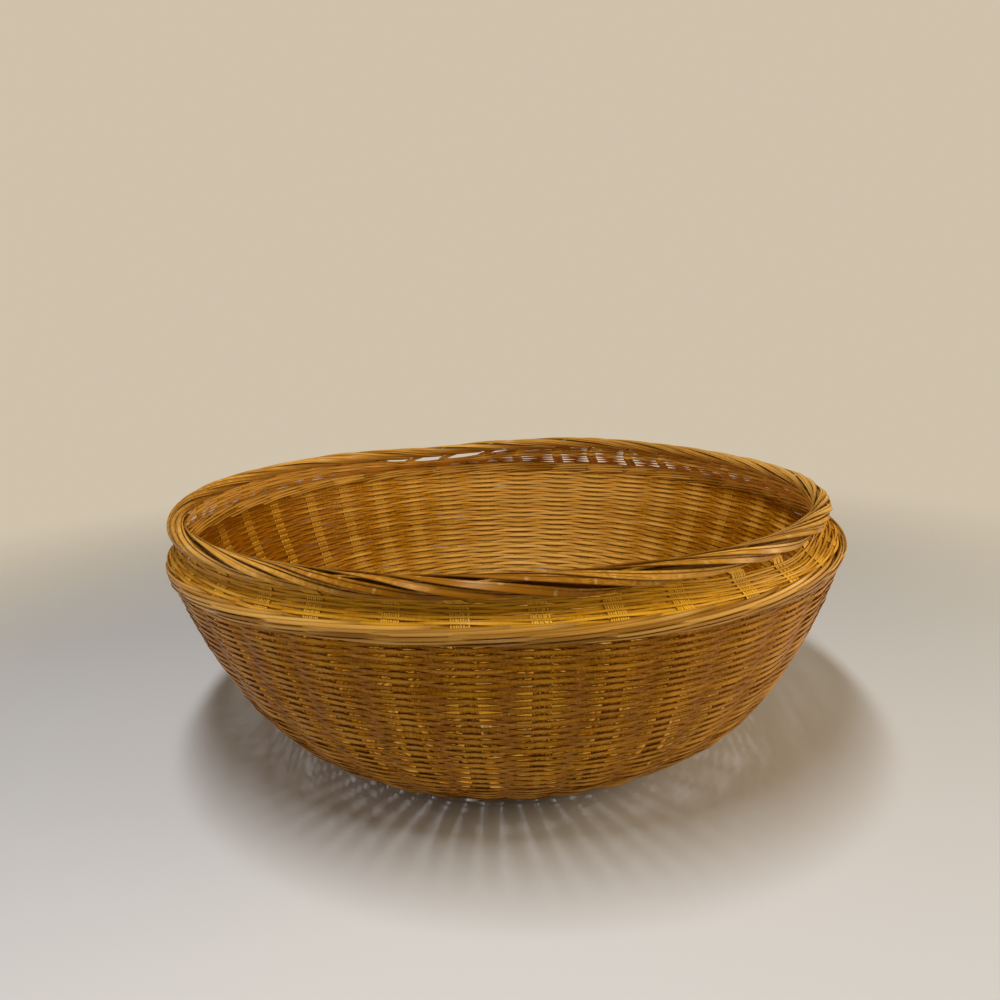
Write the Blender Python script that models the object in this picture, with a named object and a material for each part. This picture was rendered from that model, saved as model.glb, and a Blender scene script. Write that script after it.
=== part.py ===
"""Round woven bamboo basket.

Flat stakes cross under the floor, fan out to the wall and end under the rim. Courses of flat splints run
round them, over one stake and under the next. Two twined strands make the shoulder ring, and five twisted
strands make the rim border. Metres, +Z up, with the origin in the middle of the underside.
"""

import math

import bmesh
import bpy
import numpy as np

# Clearance left between two splints that touch
fit_gap = 0.0003

# Stakes: the lower ones run along X, the upper ones cross them along Y
lower_stakes = 9
upper_stakes = 10
stake_thickness = 0.0008
stake_width = 0.0078
stake_width_at_centre = 0.0045
stake_pitch_at_centre = 0.0060
crossing_margin = 0.0010

# Floor and wall, measured to the middle of a stake's thickness
floor_radius = 0.0960
shoulder_radius = 0.1853
shoulder_height = 0.1225
ledge_depth = 0.0053
ledge_height = 0.0054
collar_height = 0.0047

# Where the fanned stakes point straight outwards, as a share of the floor's radius
fan_share = 0.604

# The wall's curve: its two handles, as shares of its width and height
floor_sweep_share = 0.20
belly_out_share = 0.73
belly_up_share = 0.235
curve_samples = 480

# Weaver courses
weaver_thickness = 0.0008
course_gap = 0.0010
floor_courses = 4
wall_facets = 8
courses_per_wall_facet = 2
collar_opening = 0.0010

# Shoulder ring: two strands twined round the stakes
twine_thickness = 0.0030

# Rim border: strands twisted round an open core
rim_strands = 5
rim_turns = 4
rim_steps_per_strand = 3
rim_strand_thickness = 0.0012
rim_strand_offset = 0.0034

# Finishes: colour and roughness
stake_finish = ((0.46, 0.19, 0.025), 0.42)
weaver_finish = ((0.44, 0.18, 0.020), 0.40)
border_finish = ((0.50, 0.23, 0.040), 0.38)

# Derived sizes
stake_ends = 2 * (lower_stakes + upper_stakes)
stake_step = math.tau / stake_ends
seat_offset = stake_thickness / 2 + fit_gap + weaver_thickness / 2
twine_seat = stake_thickness / 2 + fit_gap + twine_thickness / 2
twine_rise = twine_thickness / 2 + fit_gap
twine_reach = twine_rise + twine_thickness / 2 + fit_gap
lower_level = stake_thickness / 2
upper_level = lower_level + stake_thickness + fit_gap
fan_radius = fan_share * floor_radius
collar_radius = shoulder_radius - ledge_depth
ledge_start = shoulder_height + twine_reach
stake_top = ledge_start + ledge_height + collar_height


def width_at(radius):
    """Width of a stake: narrow at the crossing, full from the edge of the floor outwards."""
    widths = (stake_width_at_centre, stake_width)
    return float(np.interp(radius, (fan_radius, floor_radius), widths))


def swings(radius, slope, seat, width, step, sides):
    """Offsets of a strand's corners outside and inside the stakes, which clear their edges by the seat.

    The strand runs straight from one corner to the next, a step round and on the given sides of the stakes.
    """
    reach = width / 2 / (radius * math.sin(step))
    drop = radius * (1 - math.cos(step)) * slope
    if sides == 1:
        return (seat + drop * reach) / (1 - reach), (seat - drop * reach) / (1 - reach)
    span = 2 * seat / (1 - 2 * reach)
    return seat + (span + drop) * reach, seat + (span - drop) * reach


floor_swing = max(
    swings(radius, 0, seat_offset, width_at(radius), stake_step, 2)[0]
    for radius in np.linspace(fan_radius, floor_radius, floor_courses + 1)
)
floor_level = floor_swing + weaver_thickness / 2
rim_strand_half_width = (
    (rim_strand_offset - rim_strand_thickness / 2) * math.tan(math.pi / rim_strands)
    - fit_gap / 2 / math.cos(math.pi / rim_strands)
)
rim_reach = math.hypot(rim_strand_offset + rim_strand_thickness / 2, rim_strand_half_width)
rim_height = stake_top + fit_gap + rim_reach


def wall_curve():
    """Points (radius, height), evenly spaced on one curve from the floor's edge to the shoulder ring."""
    top = shoulder_height - twine_reach
    out, up = shoulder_radius - floor_radius, top - floor_level
    handles = np.array([
        (floor_radius, floor_level),
        (floor_radius + floor_sweep_share * out, floor_level),
        (floor_radius + belly_out_share * out, floor_level + belly_up_share * up),
        (shoulder_radius, top),
    ])
    share = np.linspace(0, 1, curve_samples)[:, None]
    rest = 1 - share
    weights = (rest**3, 3 * rest**2 * share, 3 * rest * share**2, share**3)
    curve = sum(weight * handle for weight, handle in zip(weights, handles))
    length = np.concatenate(([0], np.cumsum(np.hypot(*np.diff(curve, axis=0).T))))
    evenly = np.linspace(0, length[-1], wall_facets + 1)
    return [(np.interp(at, length, curve[:, 0]), np.interp(at, length, curve[:, 1])) for at in evenly]


def stake_profile():
    """Corners (radius, height) of a stake outside the crossing, and how many courses each facet carries."""
    corners = [(fan_radius, floor_level), *wall_curve()]
    corners.append((shoulder_radius, ledge_start))
    corners.append((collar_radius, ledge_start + ledge_height))
    corners.append((collar_radius, stake_top))
    courses = [floor_courses] + [courses_per_wall_facet] * wall_facets + [0, 1, 1]
    return corners, courses


def clear_scene():
    for old in list(bpy.data.objects):
        bpy.data.objects.remove(old, do_unlink=True)


def bamboo(name, finish):
    """A varnished bamboo material."""
    colour, roughness = finish
    material = bpy.data.materials.new(name)
    material.use_nodes = True
    shader = material.node_tree.nodes["Principled BSDF"]
    shader.inputs["Base Color"].default_value = (*colour, 1)
    shader.inputs["Roughness"].default_value = roughness
    shader.inputs["Metallic"].default_value = 0
    return material


def loft(name, sections, cyclic):
    """A closed mesh through four-cornered sections, which are listed along the strip.

    Opposite sides are split along matching diagonals, so a twisted strip keeps its thickness.
    """
    shape = bmesh.new()
    rings = [[shape.verts.new(corner) for corner in section] for section in sections]
    pairs = list(zip(rings, rings[1:]))
    if cyclic:
        pairs.append((rings[-1], rings[0]))
    for here, there in pairs:
        for side in range(4):
            a, b, c, d = here[side], here[side - 3], there[side - 3], there[side]
            if side < 2:
                shape.faces.new((a, b, c))
                shape.faces.new((a, c, d))
            else:
                shape.faces.new((a, b, d))
                shape.faces.new((b, c, d))
    if not cyclic:
        shape.faces.new(rings[0][::-1])
        shape.faces.new(rings[-1])
    bmesh.ops.recalc_face_normals(shape, faces=shape.faces)
    mesh = bpy.data.meshes.new(name)
    shape.to_mesh(mesh)
    shape.free()
    return mesh


def add_part(name, mesh, material, parent, turn=0):
    """Places a mesh in the basket's collection, turned about the upright axis."""
    part = bpy.data.objects.new(name, mesh)
    if not mesh.materials:
        mesh.materials.append(material)
    part.rotation_euler.z = turn
    part.parent = parent
    parent.users_collection[0].objects.link(part)
    return part


def round_point(radius, height, angle):
    return np.array((radius * math.cos(angle), radius * math.sin(angle), height))


def stake_sections(shift, level, crossing_half, corners):
    """Sections of a stake along X, from the edge of the crossing out to the rim, mitred at each bend."""
    turn = shift * stake_step
    places = [np.array((crossing_half, shift * stake_pitch_at_centre, level))]
    places += [round_point(radius, height, turn) for radius, height in corners]
    widths = [stake_width_at_centre] + [width_at(radius) for radius, height in corners]
    fan = places[1] - places[0]
    headings = [0, math.atan2(fan[1], fan[0])] + [turn] * len(corners)
    climbs = [0]
    for here, there, heading in zip(places, places[1:], headings[1:]):
        run = there - here
        climbs.append(math.atan2(run[2], run[0] * math.cos(heading) + run[1] * math.sin(heading)))
    climbs.append(climbs[-1])
    sections = []
    for index, place in enumerate(places):
        heading = (headings[index] + headings[index + 1]) / 2
        climb = (climbs[index] + climbs[index + 1]) / 2
        half_width = widths[index] / 2 / math.cos(heading - headings[index])
        half_thickness = stake_thickness / 2 / math.cos(climb - climbs[index])
        ahead = np.array((math.cos(heading), math.sin(heading), 0))
        across = np.array((-math.sin(heading), math.cos(heading), 0))
        through = np.array((0, 0, math.cos(climb))) - math.sin(climb) * ahead
        sections.append([
            place + u * half_width * across + v * half_thickness * through
            for u, v in ((1, 1), (-1, 1), (-1, -1), (1, -1))
        ])
    return sections


def stake_mesh(name, shift, heading, level, crossing_half, corners):
    """One stake from rim to rim: flat under the crossing, fanned over the floor, up both sides."""
    half = stake_sections(shift, level, crossing_half, corners)
    mirrored = [[corner * (-1, 1, 1) for corner in section] for section in half[::-1]]
    cosine, sine = math.cos(heading), math.sin(heading)
    spin = np.array(((cosine, -sine, 0), (sine, cosine, 0), (0, 0, 1)))
    return loft(name, [[spin @ corner for corner in section] for section in mirrored + half], cyclic=False)


def course_mesh(name, start, end, middle, width, seat_radius):
    """A flat splint woven round the stakes, parallel to the facet from start to end."""
    start, end = np.array(start), np.array(end)
    along = (end - start) / np.linalg.norm(end - start)
    outward = np.array((along[1], -along[0]))
    centre = start + middle * along
    outside, inside = swings(centre[0], outward[0], seat_offset, width_at(seat_radius), stake_step, 2)
    if outward[0] <= 0:
        outside = inside = floor_swing
    sections = []
    for index in range(stake_ends):
        swing = outside if index % 2 == 0 else -inside
        section = []
        for u, v in ((1, 1), (-1, 1), (-1, -1), (1, -1)):
            radius, height = centre + u * width / 2 * along + (swing + v * weaver_thickness / 2) * outward
            section.append(round_point(radius, height, index * stake_step))
        sections.append(section)
    return loft(name, sections, cyclic=True)


def add_courses(corners, courses, material, parent):
    """Every course from the floor to the collar, over the stakes that the one before it goes under."""
    counts = {}
    placed = 0
    for facet, number in enumerate(courses):
        start, end = corners[facet], corners[facet + 1]
        length = math.dist(start, end)
        if facet == len(courses) - 1:
            length -= collar_opening
        kind = "floor" if facet == 0 else "wall" if facet <= wall_facets else "collar"
        for index in range(number):
            counts[kind] = counts.get(kind, 0) + 1
            name = f"{kind}_course_{counts[kind]:02d}"
            pitch = length / number
            outer_radius = start[0] + (end[0] - start[0]) * (index + 1) / number
            middle = (index + 1 / 2) * pitch
            mesh = course_mesh(name, start, end, middle, pitch - course_gap, outer_radius)
            add_part(name, mesh, material, parent, turn=placed % 2 * stake_step)
            placed += 1


def twine_mesh(name):
    """One shoulder strand: out over a stake, up and in, behind the next stake, down and out again."""
    half_step = stake_step / 2
    outside, inside = swings(shoulder_radius, 1, twine_seat, stake_width, half_step, 1)
    turn_points = ((outside, 0), (0, twine_rise), (-inside, 0), (0, -twine_rise))
    tips = ((1, 0), (0, 1), (-1, 0), (0, -1))
    sections = []
    for index in range(2 * stake_ends):
        out, up = turn_points[index % 4]
        angle = index * half_step
        section = []
        for u, v in tips:
            radius = shoulder_radius + out + u * twine_thickness / 2
            height = shoulder_height + up + v * twine_thickness / 2
            section.append(round_point(radius, height, angle))
        sections.append(section)
    return loft(name, sections, cyclic=True)


def rim_strand_mesh(name):
    """One flat strand of the rim, wound round the border's middle as it runs round the basket."""
    steps = rim_strands * rim_turns * rim_steps_per_strand
    sections = []
    for index in range(steps):
        angle = math.tau * index / steps
        wind = -rim_turns * angle
        normal = np.array((math.cos(wind), math.sin(wind)))
        across = np.array((-normal[1], normal[0]))
        section = []
        for u, v in ((1, 1), (-1, 1), (-1, -1), (1, -1)):
            offset = rim_strand_offset + v * rim_strand_thickness / 2
            place = (collar_radius, rim_height) + offset * normal + u * rim_strand_half_width * across
            section.append(round_point(place[0], place[1], angle))
        sections.append(section)
    return loft(name, sections, cyclic=True)


def add_stakes(corners, material, parent):
    """The lower stakes along X, then the upper stakes that cross them along Y."""
    bundles = (
        ("lower_stake", lower_stakes, 0, lower_level, upper_stakes),
        ("upper_stake", upper_stakes, math.pi / 2, upper_level, lower_stakes),
    )
    for kind, number, heading, level, crossed in bundles:
        crossing_half = crossed / 2 * stake_pitch_at_centre + crossing_margin
        for index in range(number):
            name = f"{kind}_{index + 1:02d}"
            shift = index - (number - 1) / 2
            mesh = stake_mesh(name, shift, heading, level, crossing_half, corners)
            add_part(name, mesh, material, parent)


def main():
    clear_scene()
    collection = bpy.data.collections.new("woven_bamboo_basket")
    bpy.context.scene.collection.children.link(collection)
    basket = bpy.data.objects.new("basket_origin", None)
    collection.objects.link(basket)

    corners, courses = stake_profile()
    add_stakes(corners, bamboo("stake_bamboo", stake_finish), basket)
    add_courses(corners, courses, bamboo("weaver_bamboo", weaver_finish), basket)

    border = bamboo("border_bamboo", border_finish)
    twine = twine_mesh("shoulder_strand")
    for index in range(2):
        add_part(f"shoulder_strand_{index + 1}", twine, border, basket, turn=index * stake_step)
    strand = rim_strand_mesh("rim_strand")
    for index in range(rim_strands):
        turn = index * math.tau / rim_strands / rim_turns
        add_part(f"rim_strand_{index + 1}", strand, border, basket, turn=turn)


main()
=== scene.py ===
"""Woven bamboo bowl: its fine weave, shoulder ring, rolled rim, varnish, light and camera.

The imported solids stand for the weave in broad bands. Here each splint of the real bowl is made from a
straight blank, bent along its own path and varnished. Metres, +Z up, the floor at zero.
"""

import logging
import math
from collections.abc import Iterator
from dataclasses import dataclass, field
from enum import Enum

import bpy
import numpy as np
from mathutils import Matrix, Vector


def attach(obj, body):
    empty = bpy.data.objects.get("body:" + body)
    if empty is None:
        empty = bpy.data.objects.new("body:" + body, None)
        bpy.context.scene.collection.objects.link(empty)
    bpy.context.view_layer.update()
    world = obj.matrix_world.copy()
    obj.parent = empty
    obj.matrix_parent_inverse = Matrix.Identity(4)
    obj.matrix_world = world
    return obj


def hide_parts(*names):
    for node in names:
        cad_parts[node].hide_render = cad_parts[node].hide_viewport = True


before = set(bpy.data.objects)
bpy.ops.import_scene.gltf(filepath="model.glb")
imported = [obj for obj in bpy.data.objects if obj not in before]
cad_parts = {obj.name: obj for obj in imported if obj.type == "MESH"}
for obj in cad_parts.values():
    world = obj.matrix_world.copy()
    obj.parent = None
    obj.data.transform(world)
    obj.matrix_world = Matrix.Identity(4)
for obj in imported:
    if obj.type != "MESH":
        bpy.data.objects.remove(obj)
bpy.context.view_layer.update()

log = logging.getLogger("bamboo_bowl")

BODY = "root"
WELD = 0.000002
UP = np.array((0, 0, 1))

# Length of the culms that splints are split from: the grain of each starts somewhere along it
CULM = 3.0

# How far the inner face of a splint is set aside in its grain, which tells the varnish the faces apart
INNER_FACE = 0.01

# Places round the bowl: for each, its direction from +X and its spread in degrees, and its strength
Places = tuple[tuple[float, float, float], ...]

# A line through a few corners: how far along each one lies, and its value there
Profile = tuple[tuple[float, ...], tuple[float, ...]]


class Bundle(Enum):
    """The two bundles of stakes that cross under the floor, by the quarter turn that each is laid at."""

    LOWER = 0
    UPPER = 1


class Finish(Enum):
    """The record's material slots."""

    STAKE = "stake_bamboo"
    WEAVER = "weaver_bamboo"
    BORDER = "border_bamboo"


@dataclass(frozen=True)
class Path:
    """Where one splint runs and how it lies there.

    Attributes:
        centre: a point for each section, one row each.
        normal: the way the splint's broad face looks at each section.
        width: its width, or its width at each section.
        thickness: its thickness.
        tone: how pale it is, or is at each section, from 0 to 1.
        start: length of splint before its first section, which sets where its grain and nodes fall.
    """

    centre: np.ndarray
    normal: np.ndarray
    width: np.ndarray | float
    thickness: float
    tone: np.ndarray | float
    start: float


def unit(vectors: np.ndarray) -> np.ndarray:
    """Rows of vectors scaled to length one."""
    return vectors / np.linalg.norm(vectors, axis=-1, keepdims=True)


def ease(value: np.ndarray, low: float, high: float) -> np.ndarray:
    """A smooth step from 0 at low to 1 at high."""
    share = np.clip((np.asarray(value, float) - low) / (high - low), 0, 1)
    return share * share * (3 - 2 * share)


def ripple(angle: np.ndarray, seed: int, waves: int) -> np.ndarray:
    """A smooth random line that closes on itself, with a spread of about one.

    Args:
        angle: places round the bowl, in radians.
        seed: which line.
        waves: how many waves the finest ripple has in one turn.

    Returns:
        A height for each place.
    """
    rng = np.random.default_rng(seed)
    heights = np.zeros(np.shape(angle))
    for wave in range(1, waves + 1):
        heights += rng.normal() * np.cos(wave * angle + rng.uniform(0, math.tau))
    return heights / math.sqrt(waves / 2)


def marked(angle: np.ndarray, places: Places) -> np.ndarray:
    """How strongly a few places round the bowl are marked, each fading out to its sides.

    Args:
        angle: angles round the bowl, in radians.
        places: the marked places.

    Returns:
        A strength for each angle.
    """
    total = np.zeros_like(angle)
    for direction, spread, strength in places:
        apart = (np.degrees(angle) - direction + 180) % 360 - 180
        total += strength * np.exp(-((apart / spread) ** 2))
    return total


def polar(reach: np.ndarray | float, angle: np.ndarray, height: np.ndarray | float) -> np.ndarray:
    """Points from their reach outwards, angle round the bowl and height."""
    return np.stack((reach * np.cos(angle), reach * np.sin(angle), height + 0 * angle), axis=-1)


def abreast(widths: tuple[float, ...]) -> Iterator[tuple[float, float]]:
    """Splints laid side by side across a bundle.

    Args:
        widths: the width of each.

    Yields:
        How far the middle of each lies from the bundle's middle, and its width.
    """
    edge = -sum(widths) / 2
    for width in widths:
        yield edge + width / 2, width
        edge += width


@dataclass(frozen=True)
class Dent:
    """One way in which the photographed bowl is out of true: a soft push on one side of it.

    Attributes:
        direction: the middle of that side, in degrees from +X.
        spread: how far it reaches to each side, in degrees.
        heights: heights over the floor, from the lowest up.
        out: how far the bowl is pushed outwards at each.
        up: how far it is pushed up at each.
    """

    direction: float
    spread: float
    heights: tuple[float, ...]
    out: tuple[float, ...]
    up: tuple[float, ...]

    def push(self, points: np.ndarray) -> np.ndarray:
        """Moves points with the dent.

        Args:
            points: points of the bowl, one row each.

        Returns:
            The points after the push.
        """
        angle = np.arctan2(points[:, 1], points[:, 0])
        share = marked(angle, ((self.direction, self.spread, 1.0),))
        out, up = (
            share * np.interp(points[:, 2], self.heights, moves)
            for moves in (self.out, self.up)
        )
        return points + polar(out, angle, up)


@dataclass
class BowlShape:
    """The middle surface of the stakes, as lengths along a meridian from the floor's middle to the rim.

    Attributes:
        stake_ends: stakes that stand round the wall.
        fan_radius: where the stakes have fanned out from their crossing, and the weave starts.
        floor_radius: radius of the flat floor.
        floor_level: height of the stakes there.
        ribbon_widths: a stake ribbon's width where the stakes cross, and from the floor's edge outwards.
        floor_sweep: how far the wall's curve runs on level, as a share of its width.
        belly_out: how far out the belly's handle lies, as a share of that width.
        belly_up: how high it lies, as a share of the wall's height.
        shoulder_radius: radius at the top of the wall.
        shoulder_height: height of the middle of the shoulder ring.
        ring_half_height: half its height.
        collar_radius: radius of the collar.
        ledge_height: how far the stakes rise while they turn in above the ring.
        collar_height: how far they rise from there to the rim.
        rim_height: height of the middle of the rim.
        rim_lean: how far the rim stands off centre along X.
        tip_rise: how far the meridian runs on above the middle of the rim.
        wall_points: points on the wall's curve.
        arc_step: distance between the points kept on the meridian.
        rounding: how many of them a corner is rounded over.
        unseen_lean: how far a stake that the photograph hides stands from even spacing, in degrees.
        leans: the same at the collar for those that it shows, by number.
        dents: a full right flank, a low left shoulder, a full front belly and a rim that waves.
        step: angle from one stake to the next.
        arcs: lengths along the meridian.
        points: radius and height at each.
        wall_start: length at which the wall starts, with the ends of wall, ring and collar after it.
    """

    stake_ends: int = 38
    fan_radius: float = 0.040
    floor_radius: float = 0.096
    floor_level: float = 0.0025
    ribbon_widths: tuple[float, float] = (0.0046, 0.0078)
    floor_sweep: float = 0.20
    belly_out: float = 0.73
    belly_up: float = 0.235
    shoulder_radius: float = 0.1853
    shoulder_height: float = 0.1225
    ring_half_height: float = 0.0036
    collar_radius: float = 0.1800
    ledge_height: float = 0.0054
    collar_height: float = 0.0047
    rim_height: float = 0.1407
    rim_lean: float = -0.0018
    tip_rise: float = 0.004
    wall_points: int = 400
    arc_step: float = 0.00025
    rounding: int = 19
    unseen_lean: float = 0.35
    step: float = field(init=False)
    arcs: np.ndarray = field(init=False)
    points: np.ndarray = field(init=False)
    wall_start: float = field(init=False)
    wall_end: float = field(init=False)
    ring_end: float = field(init=False)
    collar_end: float = field(init=False)
    leans: dict[int, float] = field(default_factory=lambda: {
        25: 0.4, 26: -0.7, 27: 0.6, 29: -0.2, 30: -0.3, 31: -0.9, 32: 0.2,
        15: -0.8, 14: -0.9, 13: -0.5, 10: -0.3, 8: -0.9, 7: -0.5, 6: -0.9, 5: -0.4,
    })
    dents: tuple[Dent, ...] = (
        Dent(
            325, 42, (0.008, 0.030, 0.055, 0.100, 0.124, 0.136),
            (0, 0.0062, 0.0050, 0.0036, 0.0031, 0), (0, 0, 0, 0, 0, 0),
        ),
        Dent(228, 26, (0.008, 0.030, 0.060, 0.100), (0, 0.0022, 0.0022, 0), (0, 0, 0, 0)),
        Dent(205, 38, (0.060, 0.120, 0.128, 0.137), (0, 0.0008, 0.0004, 0), (0, -0.0038, -0.0030, 0)),
        Dent(298, 25, (0.060, 0.120, 0.128, 0.137), (0, 0, 0, 0), (0, -0.0012, -0.0010, 0)),
        Dent(258, 56, (0.122, 0.130, 0.137), (0, 0, 0), (0, -0.0011, -0.0022)),
        Dent(112, 18, (0.124, 0.137), (0, 0), (0, -0.0026)),
        Dent(65, 22, (0.124, 0.137), (0, 0), (0, 0.0026)),
    )

    def __post_init__(self) -> None:
        """Draws the meridian, rounds its corners and measures it."""
        self.step = math.tau / self.stake_ends
        wall_top = self.shoulder_height - self.ring_half_height
        out, up = self.shoulder_radius - self.floor_radius, wall_top - self.floor_level
        handles = np.array([
            (self.floor_radius, self.floor_level),
            (self.floor_radius + self.floor_sweep * out, self.floor_level),
            (self.floor_radius + self.belly_out * out, self.floor_level + self.belly_up * up),
            (self.shoulder_radius, wall_top),
        ])
        share = np.linspace(0, 1, self.wall_points)[:, None]
        rest = 1 - share
        weights = (rest**3, 3 * rest**2 * share, 3 * rest * share**2, share**3)
        wall = sum(weight * handle for weight, handle in zip(weights, handles))
        ring_top = self.shoulder_height + self.ring_half_height
        corners = [
            (self.shoulder_radius, ring_top),
            (self.collar_radius, ring_top + self.ledge_height),
            (self.collar_radius, ring_top + self.ledge_height + self.collar_height),
            (self.collar_radius, self.rim_height + self.tip_rise),
        ]
        line = np.vstack(([(0, self.floor_level)], wall, corners))
        lengths = np.concatenate(([0], np.cumsum(np.hypot(*np.diff(line, axis=0).T))))
        top = self.wall_points
        self.wall_start, self.wall_end, self.ring_end, self.collar_end = (
            float(lengths[corner]) for corner in (1, top, top + 1, top + 3)
        )
        self.arcs = np.arange(0, lengths[-1], self.arc_step)
        raw = np.stack([np.interp(self.arcs, lengths, line[:, axis]) for axis in (0, 1)], axis=1)
        window = np.hanning(self.rounding)
        window /= window.sum()
        half = self.rounding // 2
        before = raw[:1] - (raw[1:half + 1] - raw[:1])[::-1]
        after = raw[-1:] + (raw[-1:] - raw[-half - 1:-1])[::-1]
        padded = np.vstack((before, raw, after))
        self.points = np.stack([np.convolve(padded[:, axis], window, "valid") for axis in (0, 1)], axis=1)

    def meridian(self, arc: np.ndarray) -> tuple[np.ndarray, np.ndarray, np.ndarray, np.ndarray]:
        """Reads the meridian.

        Args:
            arc: lengths along it.

        Returns:
            Radius, height and the outward and upward shares of its direction there.
        """
        slopes = unit(np.gradient(self.points, self.arcs, axis=0))
        table = (*self.points.T, *slopes.T)
        radius, height, out, up = (np.interp(arc, self.arcs, column) for column in table)
        return radius, height, out, up

    def angle(self, stake: np.ndarray, arc: np.ndarray) -> np.ndarray:
        """The angle round the bowl of a stake, or of a place between two stakes.

        Args:
            stake: the stake's number, counted from +X, with fractions between stakes.
            arc: length along the meridian.

        Returns:
            Angles in radians.
        """
        numbers = np.arange(self.stake_ends)
        leans = np.radians([
            self.leans.get(int(number), self.unseen_lean * math.sin(number * 2.4)) for number in numbers
        ])
        lean = np.interp(stake, numbers, leans, period=self.stake_ends)
        return self.step * np.asarray(stake) + ease(arc, self.floor_radius, self.wall_end) * lean

    def place(self, angle: np.ndarray, arc: np.ndarray, offset: np.ndarray) -> np.ndarray:
        """Points of the true bowl.

        Args:
            angle: angles round it.
            arc: lengths along the meridian.
            offset: how far outside the middle surface each lies.

        Returns:
            The points, one row each.
        """
        radius, height, out, up = self.meridian(arc)
        points = polar(radius + offset * up, angle, height - offset * out)
        points[:, 0] += self.rim_lean * ease(arc, self.wall_end, self.collar_end)
        return points

    def settle(self, points: np.ndarray) -> np.ndarray:
        """Moves points of the true bowl with its dents.

        Args:
            points: the points, one row each.

        Returns:
            Where they lie on the real bowl.
        """
        for dent in self.dents:
            points = dent.push(points)
        return points

    def normal(self, angle: np.ndarray, arc: np.ndarray) -> np.ndarray:
        """The outward direction of the middle surface."""
        _, _, out, up = self.meridian(arc)
        return polar(up, angle, -out)

    def stake_width(self, arc: np.ndarray) -> np.ndarray:
        """A stake ribbon's width at lengths along the meridian."""
        return np.interp(arc, (self.fan_radius, self.floor_radius), self.ribbon_widths)


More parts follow.
